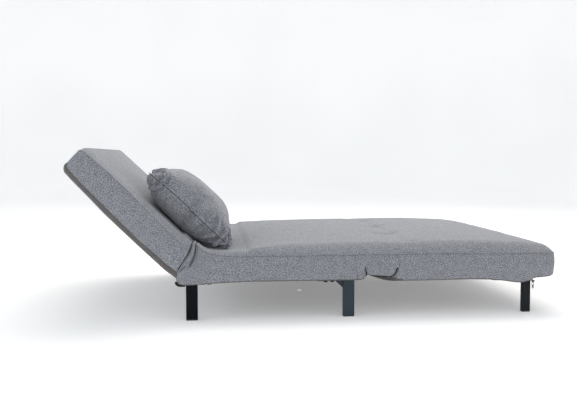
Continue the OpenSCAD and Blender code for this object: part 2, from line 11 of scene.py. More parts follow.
import bmesh
import bpy
import numpy as np
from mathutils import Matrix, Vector

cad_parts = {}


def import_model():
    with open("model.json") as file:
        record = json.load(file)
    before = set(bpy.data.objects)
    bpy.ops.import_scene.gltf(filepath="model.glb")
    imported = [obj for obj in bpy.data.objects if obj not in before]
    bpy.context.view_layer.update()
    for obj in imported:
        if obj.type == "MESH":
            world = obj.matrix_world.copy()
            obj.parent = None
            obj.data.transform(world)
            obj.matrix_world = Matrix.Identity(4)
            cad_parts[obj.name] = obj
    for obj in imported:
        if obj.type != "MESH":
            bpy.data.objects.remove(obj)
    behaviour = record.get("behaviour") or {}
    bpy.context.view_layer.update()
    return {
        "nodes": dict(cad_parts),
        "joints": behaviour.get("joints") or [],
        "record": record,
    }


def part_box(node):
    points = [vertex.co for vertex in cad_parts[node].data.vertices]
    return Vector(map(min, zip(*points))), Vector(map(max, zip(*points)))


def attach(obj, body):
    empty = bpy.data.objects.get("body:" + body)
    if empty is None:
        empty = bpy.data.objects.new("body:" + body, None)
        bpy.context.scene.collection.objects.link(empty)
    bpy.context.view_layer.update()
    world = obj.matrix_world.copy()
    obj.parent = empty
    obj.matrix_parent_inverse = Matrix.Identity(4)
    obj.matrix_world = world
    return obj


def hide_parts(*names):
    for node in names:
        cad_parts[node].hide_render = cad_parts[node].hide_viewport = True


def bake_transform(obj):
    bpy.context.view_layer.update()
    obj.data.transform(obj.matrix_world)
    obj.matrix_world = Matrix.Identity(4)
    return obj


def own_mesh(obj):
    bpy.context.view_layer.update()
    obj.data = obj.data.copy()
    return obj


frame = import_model()

MM = 0.001
JOINTS = {j["name"]: j for j in frame["joints"]}
AXIS_X, _, AXIS_Z = (c / MM for c in JOINTS["back_recline"]["pos_m"])
BACK_ANGLE = -math.radians(JOINTS["back_recline"]["range_deg"][0])
UP_SLOPE = np.array([-math.cos(BACK_ANGLE), math.sin(BACK_ANGLE)])
OUT_FRONT = np.array([math.sin(BACK_ANGLE), math.cos(BACK_ANGLE)])


def place(joint):
    """A joint's pivot as [x, z]."""
    x, _, z = JOINTS[joint]["pos_m"]
    return np.array([x / MM - AXIS_X, z / MM])


def extent(node):
    """(lowest, highest) [x, y, z] of a CAD node, with x from the recline axis."""
    return [np.array(corner) / MM - [AXIS_X, 0, 0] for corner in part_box(node)]


def on_back(u, v):
    """[x, z] of places on the backrest."""
    return np.array([0, AXIS_Z]) + np.multiply.outer(u, UP_SLOPE) + np.multiply.outer(v, OUT_FRONT)


def with_y(places, y):
    """[x, y, z] of places [x, z]."""
    return np.stack([places[..., 0], y, places[..., 1]], -1)


def world(x, z):
    """A place [x, z] in the bed's middle plane, as a point in metres in the shared frame."""
    return ((x + AXIS_X) * MM, 0.0, z * MM)


def along_line(at, line):
    """Height of a line of [place, height] rows at a place."""
    return np.interp(at, line[:, 0], line[:, 1])


def run_along(path):
    """Distance along a path to each of its points."""
    return np.concatenate([[0], np.cumsum(np.linalg.norm(np.diff(path, axis=0), axis=1))])


def resampled(path, count):
    """Evenly spaced points along a path, and their distances along it."""
    run = run_along(path)
    at = np.linspace(0, run[-1], count)
    return np.stack([np.interp(at, run, values) for values in path.T], 1), at


def flat_places(a, b):
    """Cloth coordinates of points that lie at a and b on the flat cloth."""
    return np.stack([a, b, 0 * b], -1)


def smooth(t):
    """From 0 to 1 with an easy start and end, as t goes from 0 to 1."""
    t = np.clip(t, 0, 1)
    return t * t * (3 - 2 * t)


def bell(d, width):
    return np.exp(-((d / width) ** 2))


def add_object(name, data):
    obj = bpy.data.objects.new(name, data)
    bpy.context.scene.collection.objects.link(obj)
    return obj


def ripple(a, b, seed):
    """Smooth, irregular waves between about -1 and 1, over two coordinates in millimetres."""
    rng = np.random.default_rng(seed)
    total = 0
    for _ in range(9):
        heading, wave, phase = rng.uniform(0, math.pi), rng.uniform(70, 240), rng.uniform(0, 6.28)
        total = total + np.sin((a * math.cos(heading) + b * math.sin(heading)) * 6.28 / wave + phase)
    return total / 4.5


# ---------- camera, light and floor ----------

CAMERA_AT = Vector((-0.3897, -2.9485, 0.561))
CAMERA_TOWARDS = Vector((0.11536, 0.99125, -0.06411))
CAMERA_LENS = 44.67


def make_camera():
    data = bpy.data.cameras.new("camera")
    data.sensor_width = 36
    data.lens = CAMERA_LENS
    camera = add_object("camera", data)
    camera.location = CAMERA_AT
    camera.rotation_euler = CAMERA_TOWARDS.to_track_quat("-Z", "Y").to_euler()
    bpy.context.scene.camera = camera


def area_light(name, at, size, power, colour):
    """A rectangular light that faces the middle of the floor."""
    data = bpy.data.lights.new(name, "AREA")
    data.shape = "RECTANGLE"
    data.size, data.size_y = size
    data.energy = power
    data.color = colour
    light = add_object(name, data)
    light.location = at
    light.rotation_euler = (-Vector(at)).to_track_quat("-Z", "Y").to_euler()


def make_lights():
    world = bpy.data.worlds.new("studio")
    world.use_nodes = True
    background = world.node_tree.nodes["Background"]
    background.inputs["Color"].default_value = (0.93, 0.965, 1.0, 1)
    background.inputs["Strength"].default_value = 0.67
    bpy.context.scene.world = world
    area_light("top_softbox", (0.6, 1.6, 3.4), (4.0, 3.0), 104, (1.0, 0.95, 0.88))
    area_light("left_softbox", (-3.6, -1.6, 1.9), (2.2, 2.2), 16, (0.80, 0.92, 1.0))
    bpy.context.scene.view_settings.view_transform = "Standard"


def make_floor():
    """A round pale floor that turns up into a backdrop all the way round, in metres until the grid."""
    flat_r, bend_r, wall_h, sides = 9.0, 2.5, 5.0, 96
    profile = [(0.01, 0.0), (2.0, 0.0), (5.0, 0.0), (flat_r, 0.0)]
    for i in range(1, 13):
        a = math.pi / 2 * i / 12
        profile.append((flat_r + bend_r * math.sin(a), bend_r * (1 - math.cos(a))))
    profile.append((flat_r + bend_r, bend_r + wall_h))
    turn = [2 * math.pi * k / sides for k in range(sides)]
    points = np.array([[(r * math.cos(a), r * math.sin(a), z) for a in turn] for r, z in profile])
    made = Cloth()
    made.grid(points / MM - [AXIS_X, 0, 0], points, close=True)
    add_mesh("floor", made, [floor_material()])


# ---------- materials ----------


class Nodes:
    """A material's node tree, with short calls for the nodes that the materials here use."""

    def __init__(self, name):
        self.material = bpy.data.materials.new(name)
        self.material.use_nodes = True
        self.tree = self.material.node_tree
        self.shader = self.tree.nodes["Principled BSDF"]

    def put(self, node, inputs):
        """Sets inputs, {name or number: value}, or links them where the value is another node's output."""
        for name, value in inputs.items():
            if isinstance(value, bpy.types.NodeSocket):
                self.tree.links.new(value, node.inputs[name])
            else:
                node.inputs[name].default_value = value

    def node(self, kind, inputs, output=0, **settings):
        """Output of a new node."""
        made = self.tree.nodes.new(kind)
        for key, value in settings.items():
            setattr(made, key, value)
        self.put(made, inputs)
        return made.outputs[output]

    def math(self, operation, a, b=0.0, c=0.0):
        return self.node("ShaderNodeMath", {0: a, 1: b, 2: c}, operation=operation)

    def offset(self, value, scale, middle):
        """middle, moved by how far a value lies from 0.5."""
        return self.math("MULTIPLY_ADD", self.math("SUBTRACT", value, 0.5), scale, middle)

    def object_place(self):
        return self.node("ShaderNodeTexCoord", {}, "Object")

    def stretched(self, vector, scale):
        return self.node("ShaderNodeVectorMath", {0: vector, 1: scale}, operation="MULTIPLY")

    def noise(self, vector, scale, detail=2.0, roughness=0.5):
        inputs = {"Vector": vector, "Scale": scale, "Detail": detail, "Roughness": roughness}
        return self.node("ShaderNodeTexNoise", inputs, "Fac")

    def cells(self, vector, scale):
        """Distance from the middles of scattered cells."""
        return self.node("ShaderNodeTexVoronoi", {"Vector": vector, "Scale": scale}, "Distance", feature="F1")

    def ramp(self, value, stops):
        colour = self.node("ShaderNodeValToRGB", {0: value})
        elements = colour.node.color_ramp.elements
        for element, (at, shade) in zip(elements, stops):
            element.position = at
            element.color = (*shade, 1)
        return colour

    def mix(self, factor, a, b):
        inputs = {"Factor": factor, 6: (*a, 1), 7: (*b, 1)}
        return self.node("ShaderNodeMix", inputs, 2, data_type="RGBA", blend_type="MIX")

    def bump(self, height, distance, strength=1.0, **normal):
        inputs = {"Height": height, "Distance": distance, "Strength": strength, **normal}
        return self.node("ShaderNodeBump", inputs, "Normal")

    def finish(self, **inputs):
        self.put(self.shader, {name.replace("_", " "): value for name, value in inputs.items()})
        return self.material


def floor_material():
    n = Nodes("pale_floor")
    tint = n.ramp(n.noise(n.object_place(), 0.7), [(0.3, (0.86, 0.86, 0.86)), (0.7, (0.90, 0.90, 0.90))])
    return n.finish(Base_Color=tint, Roughness=0.9, Emission_Color=(1, 1, 1, 1), Emission_Strength=0.22)


def woven_material(name, dark, light, thread, slub, contrast, bump_depth):
    """Linen weave that runs along the cloth's own coordinates, kept in the cloth attribute in metres.

    thread is the thread's pitch, slub how far single threads differ, contrast how mottled the yarn is."""
    n = Nodes(name)
    cloth = n.node("ShaderNodeAttribute", {}, "Vector", attribute_name="cloth")
    along, across = n.node("ShaderNodeSeparateXYZ", {0: cloth}).node.outputs[:2]
    turn = math.pi / (thread * MM)
    wave_a = n.math("SINE", n.math("MULTIPLY", along, turn))
    wave_b = n.math("SINE", n.math("MULTIPLY", across, turn))
    over = n.math("MULTIPLY_ADD", n.math("MULTIPLY", wave_a, wave_b), 0.5, 0.5)
    warp = n.noise(n.stretched(cloth, (70, 900, 1)), 1.0, 2.0, 0.6)
    weft = n.noise(n.stretched(cloth, (900, 70, 1)), 1.0, 2.0, 0.6)
    under = n.math("SUBTRACT", 1.0, over)
    yarn = n.math("ADD", n.math("MULTIPLY", warp, over), n.math("MULTIPLY", weft, under))
    flecks = n.noise(cloth, 268, 3.0, 0.75)
    patches = n.noise(cloth, 45, 2.0, 0.5)
    tone = n.offset(flecks, contrast, n.offset(yarn, slub, 0.5))
    tone = n.offset(patches, 0.1 * contrast, tone)
    colour = n.ramp(tone, [(0.1, dark), (0.9, light)])
    height = n.math("MULTIPLY_ADD", over, 0.5, n.math("MULTIPLY", yarn, 0.9))
    height = n.math("MULTIPLY_ADD", flecks, 0.5, height)
    rough = n.math("MULTIPLY_ADD", flecks, 0.12, 0.84)
    return n.finish(Base_Color=colour, Roughness=rough, Normal=n.bump(height, bump_depth * MM, 0.9),
                    Sheen_Weight=0.25, Sheen_Roughness=0.55, Specular_IOR_Level=0.25)


def thread_material(name, dark, light):
    n = Nodes(name)
    twist = n.noise(n.object_place(), 900, 2.0)
    tint = n.ramp(twist, [(0.2, dark), (0.8, light)])
    return n.finish(Base_Color=tint, Roughness=0.8, Normal=n.bump(twist, 0.0003))


def coated_material(name, colour, roughness, specular=0.18):
    """Powder coat: fine orange peel, small specks, and paler dust where it gathers."""
    n = Nodes(name)
    at = n.object_place()
    dust = n.noise(at, 9, 4.0, 0.6)
    paler = tuple(min(1.0, c * 1.7 + 0.003) for c in colour)
    tint = n.mix(n.ramp(dust, [(0.45, (0, 0, 0)), (0.95, (0.5, 0.5, 0.5))]), colour, paler)
    peel = n.noise(at, 700, 2.0, 0.5)
    gloss = n.math("MULTIPLY_ADD", n.noise(at, 60, 3.0), 0.16, roughness - 0.08)
    soft_edge = n.node("ShaderNodeBevel", {"Radius": 0.0012}, "Normal", samples=4)
    normal = n.bump(peel, 0.00012, 0.7, Normal=soft_edge)
    return n.finish(Base_Color=tint, Roughness=gloss, Normal=normal, Specular_IOR_Level=specular)


def plastic_material():
    n = Nodes("moulded_plastic")
    at = n.object_place()
    grain = n.noise(at, 1400, 2.0)
    scuffs = n.noise(n.stretched(at, (30, 30, 160)), 1.0, 4.0, 0.7)
    tint = n.ramp(scuffs, [(0.5, (0.012, 0.012, 0.013)), (0.9, (0.045, 0.045, 0.047))])
    rough = n.math("MULTIPLY_ADD", scuffs, 0.25, 0.38)
    return n.finish(Base_Color=tint, Roughness=rough, Normal=n.bump(grain, 0.00008, 0.6))


def metal_material(name, dark, light):
    """Plated metal with fine spangle and brushing."""
    n = Nodes(name)
    at = n.object_place()
    brushed = n.noise(n.stretched(at, (60, 900, 900)), 1.0, 3.0)
    tint = n.ramp(n.cells(at, 260), [(0.0, dark), (1.0, light)])
    rough = n.math("MULTIPLY_ADD", brushed, 0.25, 0.26)
    return n.finish(Base_Color=tint, Metallic=1.0, Roughness=rough, Normal=n.bump(brushed, 0.00006, 0.5))


def lining_material():
    """Thin non-woven cloth with pressed dots."""
    n = Nodes("black_lining")
    at = n.object_place()
    fibre = n.noise(at, 1500, 3.0, 0.7)
    tint = n.ramp(fibre, [(0.3, (0.012, 0.012, 0.013)), (0.75, (0.04, 0.04, 0.043))])
    return n.finish(Base_Color=tint, Roughness=0.85, Normal=n.bump(n.cells(at, 420), 0.0002, 0.7))


FABRIC = woven_material("linen_melange", (0.090, 0.096, 0.116), (0.372, 0.379, 0.409), 1.1, 0.9, 3.8, 0.35)
REAR = woven_material("rear_cloth", (0.054, 0.048, 0.047), (0.165, 0.150, 0.148), 0.8, 0.6, 1.6, 0.2)
WEBBING = woven_material("webbing_weave", (0.015, 0.015, 0.016), (0.06, 0.06, 0.064), 2.2, 0.5, 0.3, 0.5)
THREAD = thread_material("sewing_thread", (0.085, 0.086, 0.094), (0.17, 0.17, 0.18))
PIPING = thread_material("dark_piping", (0.030, 0.031, 0.036), (0.07, 0.07, 0.078))
LINING = lining_material()

# Each finish by the name of its slot in the record
FINISHES = {
    "frame_black": coated_material("frame_coat", (0.010, 0.010, 0.012), 0.46),
    # The rear legs' black coat: the same coat as on the folding foot legs, made darker and less glossy as
    # painted shade
    "leg_black": coated_material("black_leg_coat_painted_shade", (0.004, 0.0055, 0.008), 0.42, 0.06),
    "leg_blue_grey": coated_material("blue_grey_leg_coat", (0.030, 0.043, 0.056), 0.45),
    "cap_black": plastic_material(),
    "zinc_steel": metal_material("zinc_plate", (0.50, 0.51, 0.53), (0.66, 0.67, 0.69)),
    "webbing_black": WEBBING,
}
ZIP_METAL = metal_material("dark_nickel", (0.11, 0.11, 0.12), (0.19, 0.19, 0.20))
FOOT_LEG_COAT = coated_material("foot_leg_coat", (0.008, 0.010, 0.013), 0.42, 0.16)

# CAD nodes whose finish differs a little from the rest of their slot: the zip's darker metal, and the folding
# foot legs' black coat, which is paler and glossier than the slot's own copy because that copy is darkened as
# painted shade
OWN_FINISH = {"zip_slider": ZIP_METAL, "zip_pull": ZIP_METAL, "foot_leg_left": FOOT_LEG_COAT,
              "foot_leg_right": FOOT_LEG_COAT}

# ---------- mesh helpers ----------


class Cloth:
    """Vertices, faces and cloth coordinates of one mesh, in millimetres, with a material for each face."""

    def __init__(self):
        self.verts, self.cloth, self.faces, self.slots = [], [], [], []

    def grid(self, points, cloth, slot=0, keep=None, close=False):
        """points and cloth are [rows, columns, 3]; slot and keep may be functions of a cell's row and column.

        close joins the last column to the first."""
        rows, cols = points.shape[:2]
        start = len(self.verts)
        self.verts += [tuple(p) for p in points.reshape(-1, 3)]
        self.cloth += [tuple(p) for p in cloth.reshape(-1, 3)]
        for i in range(rows - 1):
            for j in range(cols if close else cols - 1):
                if keep is not None and not keep(i, j):
                    continue
                k = (j + 1) % cols
                corners = (i * cols + j, i * cols + k, (i + 1) * cols + k, (i + 1) * cols + j)
                self.faces.append(tuple(start + c for c in corners))
                self.slots.append(slot(i, j) if callable(slot) else slot)

    def tube(self, path, radius, slot=0, sides=6, stitch=5.0):
        """A round thread along a path; its radius swells with each stitch."""
        path = np.asarray(path, float)
        line, at = resampled(path, max(3, int(run_along(path)[-1] / stitch * 4)))
        heading = np.gradient(line, axis=0)
        heading /= np.linalg.norm(heading, axis=1)[:, None] + 1e-9
        side = np.cross(heading, [0.013, 1.0, 0.021])
        side /= np.linalg.norm(side, axis=1)[:, None] + 1e-9
        other = np.cross(heading, side)
        swell = radius * (0.7 + 0.3 * np.abs(np.sin(math.pi * at / stitch)))
        angle = np.linspace(0, 2 * math.pi, sides, endpoint=False)
        ring = np.cos(angle)[None, :, None] * side[:, None] + np.sin(angle)[None, :, None] * other[:, None]
        points = line[:, None] + swell[:, None, None] * ring
        cloth = np.zeros_like(points)
        cloth[..., 0] = at[:, None]
        self.grid(points, cloth, slot, close=True)


def add_mesh(name, made, materials, solidify=0.0, levels=0, sharp=()):
    """Object from a Cloth, with its thickness and subdivision applied; sharp is a closed loop of vertices."""
    mesh = bpy.data.meshes.new(name)
    points = np.array(made.verts) + [AXIS_X, 0, 0]
    mesh.from_pydata((points * MM).tolist(), [], made.faces)
    attribute = mesh.attributes.new("cloth", "FLOAT_VECTOR", "POINT")
    attribute.data.foreach_set("vector", (np.array(made.cloth) * MM).ravel())
    mesh.polygons.foreach_set("material_index", made.slots)
    mesh.polygons.foreach_set("use_smooth", [True] * len(made.faces))
    for material in materials:
        mesh.materials.append(material)
    work = bmesh.new()
    work.from_mesh(mesh)
    if sharp:
        work.verts.ensure_lookup_table()
        crease = work.edges.layers.float.new("crease_edge")
        for a, b in zip(sharp, sharp[1:] + sharp[:1]):
            work.edges.get((work.verts[a], work.verts[b]))[crease] = 1
    loose = [v for v in work.verts if not v.link_faces]
    bmesh.ops.delete(work, geom=loose, context="VERTS")
    bmesh.ops.remove_doubles(work, verts=work.verts, dist=0.00002)
    bmesh.ops.recalc_face_normals(work, faces=work.faces)
    work.to_mesh(mesh)
    work.free()
    obj = add_object(name, mesh)
    if solidify:
        modifier = obj.modifiers.new("thickness", "SOLIDIFY")
        modifier.thickness = solidify * MM
        modifier.offset = 0
    if levels:
        modifier = obj.modifiers.new("smooth", "SUBSURF")
        modifier.levels = modifier.render_levels = levels
    if obj.modifiers:
        bpy.context.view_layer.update()
        graph = bpy.context.evaluated_depsgraph_get()
        mesh = bpy.data.meshes.new_from_object(obj.evaluated_get(graph))
        obj.modifiers.clear()
        obj.data = mesh
    return obj


def add_sheet(name, points, flat, material, thickness):
    """Thin cloth through a grid of points (x, y, z); flat says where they lie on the flat cloth."""
    made = Cloth()
    made.grid(np.stack(points, -1), flat_places(*flat))
    return add_mesh(name, made, [material], solidify=thickness)


# ---------- the mattress: stations along it, rings round it ----------

# Lengths along the bed are x, heights are z, and widths ending in _W run across it
HALF_W = extent("seat_cover")[1][1]
SEAT_END = 569
FOLD_MID = (place("link_fold")[0] + place("foot_fold")[0]) / 2
FOOT_FROM = 779
FOOT_END = 1303
SEAM_Z = 218
SEAM_DROP = 4.5
TOP_Z = extent("foot_cover")[1][2]
BACK_END = 564
BACK_FRONT_V = 91
BED_SLOPE_W = 60
SEAT_SLOPE_W = 22
HEM_W = 12
HEM_H = 5
SEAM_THREAD = 0.5
SEAM_GROOVE = 0.9

# The legs' pocket under the foot section: its rear end, its front end and the edge that holds the zip
POCKET = (1051, 1176, 1218)

# Radii of the ends, at the top's edge and at the corners seen from above
BACK_ROUND = (20, 15)
FOOT_ROUND = (34, 28)

# The pillow's middle as (u, v) and y, its size, how deep it presses into the backrest, and where the
# backrest and the seat flatten it
PILLOW_AT = (160.0, 167.0)
PILLOW_Y = float((extent("pillow_cover")[0][1] + extent("pillow_cover")[1][1]) / 2)
PILLOW_SIZE = (478.0, 381.0, 192.0)
PILLOW_DENT = 8.0
PILLOW_REST_V = 89.0
PILLOW_SEAT_Z = 240.0

# Lines on the backrest's side as (u, v): its rear edge, its front seam and how wide the front's edge slopes
BACK_REAR = np.array([
    (40, -18), (80, -20), (130, -22), (215, -24), (347, -18), (483, -11), (545, -4), (555, -1), (564, 6),
])
BACK_SEAM = np.array([
    (120, 66), (200, 68.5), (280, 73), (340, 78), (430, 81), (545, 78), (558, 74), (564, 68),
])
BACK_SLOPE_W = np.array([(150, 55), (300, 70), (440, 60)])


# Lower edge of the side panels, from the seat to the foot end
HEM = np.array([
    (150, 128.5), (200, 130.5), (300, 130), (450, 129), (SEAT_END, 128.5), (589, 128), (600, 137),
    (612, 147), (640, 137), (668, 128), (700, 123), (820, 122.5), (985, 123.5), (1059, 121),
    (1107, 116), (1150, 109), (1172, 107.5), (1201, 113), (1224, 124.5), (1255, 126), (1280, 129),
    (1294, 134), (FOOT_END, 146),
])

# The crease, from the backrest to the seat: [hem, top at the side, top in the middle, bow of the side]
CREASE = [
    (on_back(108, along_line(108, BACK_REAR)), on_back(112, BACK_FRONT_V), on_back(112, 92), 0),
    (on_back(80, along_line(80, BACK_REAR)), on_back(98, BACK_FRONT_V), on_back(85, 92), 0),
    ((-49, 167), (1, 269), on_back(58, 91), 0),
    ((-49, 156), (25, 265), (35, 238), 27),
    ((-49, 143), (34, 257), (46, 235.5), 23),
    ((-45, 131), (46, 248), (58, 235), 18),
    ((-33, 124), (62, 241), (72, 235), 12),
    ((-8, 122.5), (84, 237.5), (90, 235), 7),
    ((30, 124), (108, 236), (112, 235), 3),
    ((80, 126.5), (136, 235), (138, 235), 1),
    ((130, 128.5), (165, 235), (165, 235), 0),
    ((190, 130), (200, 235), (200, 235), 0),
]

# The key section where the fan of folds starts, and the fan coordinate of the stations that have no folds
FAN_FROM = 2
PAST_FAN = 9.0


class Stations:
    """Cross-sections of the mattress, in order from the backrest's end to the foot end."""

    def __init__(self):
        self.rows = []

    def add(self, hem, seam, top, middle, slope_w, half=HALF_W, bow=0.0, fan=PAST_FAN):
        self.rows.append({"hem": hem, "seam": seam, "top": top, "middle": middle, "slope_w": slope_w,
                          "half": half, "bow": bow, "fan": fan})

    def column(self, key):
        return np.array([row[key] for row in self.rows], float)

    def on_backrest(self):
        return (self.column("top")[:, 0] < 0) & (self.column("fan") == PAST_FAN)


def corner_drop(d, r):
    """How far a round corner of radius r falls back at distance d from the end."""
    d = np.clip(d, 0, r)
    return r - math.sqrt(r * r - (r - d) ** 2)


def end_steps(r, count):
    return [r * (1 - math.cos(math.pi / 2 * i / count)) for i in range(count + 1)]


def back_station(stations, u):
    top_r, plan_r = BACK_ROUND
    d = BACK_END - u
    seam_v = along_line(u, BACK_SEAM)
    rise = (BACK_FRONT_V - seam_v) * (1 - corner_drop(d, top_r) / top_r)
    top = on_back(u, seam_v + rise)
    stations.add(on_back(u, along_line(u, BACK_REAR)), on_back(u, seam_v), top, top,
                 along_line(u, BACK_SLOPE_W), HALF_W - corner_drop(d, plan_r))


def bed_station(stations, x):
    top_r, plan_r = FOOT_ROUND
    d = FOOT_END - x
    seam_z = SEAM_Z - SEAM_DROP * smooth((x - 860) / 240)
    rise = (TOP_Z - seam_z + 0.75 * along_line(x, CROWN)) * (1 - corner_drop(d, top_r) / top_r)
    slope_w = SEAT_SLOPE_W + (BED_SLOPE_W - SEAT_SLOPE_W) * smooth((x - 190) / 130)
    top = (x, seam_z + rise)
    stations.add((x, along_line(x, HEM)), (x, seam_z), top, top, slope_w, HALF_W - corner_drop(d, plan_r))


def crease_stations(stations):
    """Stations between the crease's key sections, on smooth curves through them."""
    keys = len(CREASE) - 1
    hem, top, middle, bow = (np.array([row[k] for row in CREASE], float) for k in range(4))

    def curve(values, t):
        i = min(int(t), keys - 1)
        f = t - i
        p0, p1, p2, p3 = (values[min(max(i + k, 0), keys)] for k in (-1, 0, 1, 2))
        m1, m2 = (p2 - p0) / 2, (p3 - p1) / 2
        from_here = (2 * f**3 - 3 * f**2 + 1) * p1 + (f**3 - 2 * f**2 + f) * m1
        return from_here + (3 * f**2 - 2 * f**3) * p2 + (f**3 - f**2) * m2

    for i in range(keys):
        count = 34 if i == FAN_FROM else 6
        for k in range(count):
            t = i + k / count
            h, tp = curve(hem, t), curve(top, t)
            by_back = 1 - smooth(t / 2.2)
            roundover = 5.5 + 11.5 * smooth((t - 2) / 8) + 19.5 * by_back
            seam = tp + (h - tp) * roundover / np.linalg.norm(h - tp)
            stations.add(h, seam, tp, curve(middle, t), SEAT_SLOPE_W + 33 * by_back, bow=float(curve(bow, t)),
                         fan=t - FAN_FROM)


def make_stations():
    """The mattress's cross-sections, and the rows at which its pieces meet."""
    s = Stations()
    for d in end_steps(BACK_ROUND[0], 7):
        back_station(s, BACK_END - d)
    for u in np.linspace(BACK_END - BACK_ROUND[0], 122, 40)[1:]:
        back_station(s, u)
    crease_stations(s)
    for x in np.concatenate([np.linspace(212, 545, 30), np.linspace(549, SEAT_END, 6)]):
        bed_station(s, x)
    cuts = [len(s.rows) - 1]
    pocket_from, pocket_to, pocket_rim = POCKET
    spans = [
        (SEAT_END, FOLD_MID, 39), (FOLD_MID, FOOT_FROM, 39), (FOOT_FROM, 810, 8), (810, pocket_from, 22),
        (pocket_from, pocket_to, 14), (pocket_to, pocket_rim, 8), (pocket_rim, FOOT_END - FOOT_ROUND[0], 5),
    ]
    for a, b, count in spans:
        for x in np.linspace(a, b, count + 1)[1:]:
            bed_station(s, x)
        cuts.append(len(s.rows) - 1)
    for d in end_steps(FOOT_ROUND[0], 9)[-2::-1]:
        bed_station(s, FOOT_END - d)
    return s, cuts[:3]


# Tufts across the fold between the middle flap and the foot section, as (x, y)
TUFTS = ((745, -492), (744, -265), (758, 0), (760, 265), (764, 492))

# Height of the bed's crown over its flat top at x
CROWN = np.array([
    (110, 0), (220, 14), (320, 24), (560, 30), (700, 31), (745, 30), (785, 32), (1000, 32), (1200, 21),
    (FOOT_END, 3),
])


def top_columns():
    """Places across the top as shares of the flat part's half width, denser by the tufts."""
    flat = HALF_W - BED_SLOPE_W
    y = [-flat]
    while y[-1] < flat:
        near = min(abs(y[-1] - t) for _, t in TUFTS)
        y.append(y[-1] + (6 if near < 46 else 15))
    y = np.array(y)
    return (y - y[0]) / (y[-1] - y[0]) * 2 - 1


def back_relief(u, y, reach):
    """Height of the backrest's crown over its flat front, with the dent under the pillow."""
    crown = 6.5 * (1 - np.abs(y / reach) ** 3) * smooth(u / 220) * smooth((BACK_END - u) / 150)
    beside = np.abs(y - PILLOW_Y) - PILLOW_SIZE[0] / 2
    above = u - PILLOW_AT[0] - 0.55 * PILLOW_SIZE[1]
    pressed = smooth(0.5 - beside / 60) * smooth(-above / 110)
    waves = 0.9 * smooth((reach - np.abs(y)) / 60) * ripple(u, y, 5)
    return crown * (1 - 0.6 * pressed) - PILLOW_DENT * pressed + waves


def bed_relief(x, y, reach):
    """Height of the bed's crown, tufts and creases above its flat top."""
    share = np.abs(y / reach)
    crown = along_line(x, CROWN) * (0.15 * (1 - share**5) + 0.2 * (1 - share**2))
    height = crown + 0.8 * smooth((reach - np.abs(y)) / 60) * (ripple(x, y, 11) - 0.4)
    height = height - 2.6 * bell(x - 758, 15) * (1 - 0.5 * share)
    for k, (tuft_x, tuft_y) in enumerate(TUFTS):
        dx, dy = x - tuft_x, y - tuft_y
        height = height - 6.0 * bell(np.hypot(dx, dy), 14) - 4.0 * bell(np.hypot(dx, dy - 10), 46)
        for heading, deep in ((0.30, 5.0), (2.75, 5.0), (-0.75 - 0.2 * (k % 2), 2.2), (4.0, 2.2)):
            ahead = dx * math.cos(heading) + dy * math.sin(heading)
            aside = -dx * math.sin(heading) + dy * math.cos(heading) - 0.004 * ahead**2
            height = height - deep * bell(aside, 7) * bell(ahead - 30, 34) * smooth((ahead + 8) / 10)
    return height


# Folds of the fan between the backrest and the seat: [place across the fan, drift with height, width,
# how far it stands out, lowest and highest share of the side's height]
PLEATS = (
    (0.07, 0.24, 0.060, -16, 0.08, 0.82), (0.28, 0.0, 0.075, -18, 0.78, 1.3), (0.08, 0.0, 0.07, 5, 0.55, 1.2),
    (0.42, 0.10, 0.10, 8, 0.30, 1.3), (0.50, 0.0, 0.05, -7, 0.08, 0.45), (0.70, 0.06, 0.055, -13, 0.40, 0.84),
    (0.80, 0.0, 0.075, -16, 0.80, 1.3), (0.92, 0.0, 0.07, 5, 0.25, 0.95), (1.04, 0.0, 0.07, -6, 0.6, 1.2),
    (0.20, 0.0, 0.06, 4, 0.0, 0.5),
)


def pleats(p, height):
    """How far the fan stands out at share p across it and share height up it."""
    total = 0.0
    for at, drift, width, out, low, high in PLEATS:
        reach = smooth((height - low) / 0.12 + 0.5) * smooth((high - height) / 0.12 + 0.5)
        total += out * reach * bell(p - at - drift * height, width)
    return total


# Seams down the sides, at the seat's front and the foot section's rear
SEAT_FRONT_SEAM = np.array([(563, SEAM_Z), (567, 190), (570, 171), (575, 146), (573, 130)])
FOOT_REAR_SEAM = np.array([
    (716, SEAM_Z), (721, 205), (724, 188), (722, 170), (714, 150), (701, 134), (690, 125),
])


def line_distance(x, z, line):
    """Distance from points to a polyline in the side's plane."""
    best = np.full(np.shape(x), 1e9)
    for (ax, az), (bx, bz) in zip(line[:-1], line[1:]):
        t = np.clip(((x - ax) * (bx - ax) + (z - az) * (bz - az)) / ((bx - ax) ** 2 + (bz - az) ** 2), 0, 1)
        best = np.minimum(best, np.hypot(x - ax - t * (bx - ax), z - az - t * (bz - az)))
    return best


# On the middle flap's side: the tongue's lower rim, the gap round it with a strip of painted black shadow of
# the given width, and the line under which the side gets the darker rear cloth, partly as painted shade
TONGUE_RIM = np.array([(612, 147), (650, 143.5), (689, 140), (699, 144), (707, 152), (712, 166)])
TONGUE_GAP = np.array([
    (603, 170), (611, 146), (650, 141), (689, 137.5), (701, 140.5), (710, 149.5), (715.5, 168),
])
TONGUE_SHADOW_W = 2.8
TONGUE_SHADE = np.array([(608, 147), (650, 143), (690, 139), (720, 130), (760, 124)])


def side_shape(x, z, rise):
    """How far the side stands out at [x, z], where rise is the share of the panel's height."""
    belly = np.sin(math.pi * rise)
    out = 5.5 * belly - 1.5 + 0.9 * ripple(x, 1.7 * z, 23) * belly
    for seam in (SEAT_FRONT_SEAM, FOOT_REAR_SEAM):
        out = out - 2.4 * bell(line_distance(x, z, seam), 2.8)
    under = smooth((along_line(x, TONGUE_RIM) + 2 - z) / 5) * smooth((x - 606) / 8) * smooth((705 - x) / 12)
    gap = 9 * bell(line_distance(x, z, TONGUE_GAP), 4)
    behind = 4 * smooth((x - 600) / 8) * smooth((716 - x) / 8) * smooth((196 - z) / 10)
    return out - 10 * under - (gap + behind) * (1 - under)


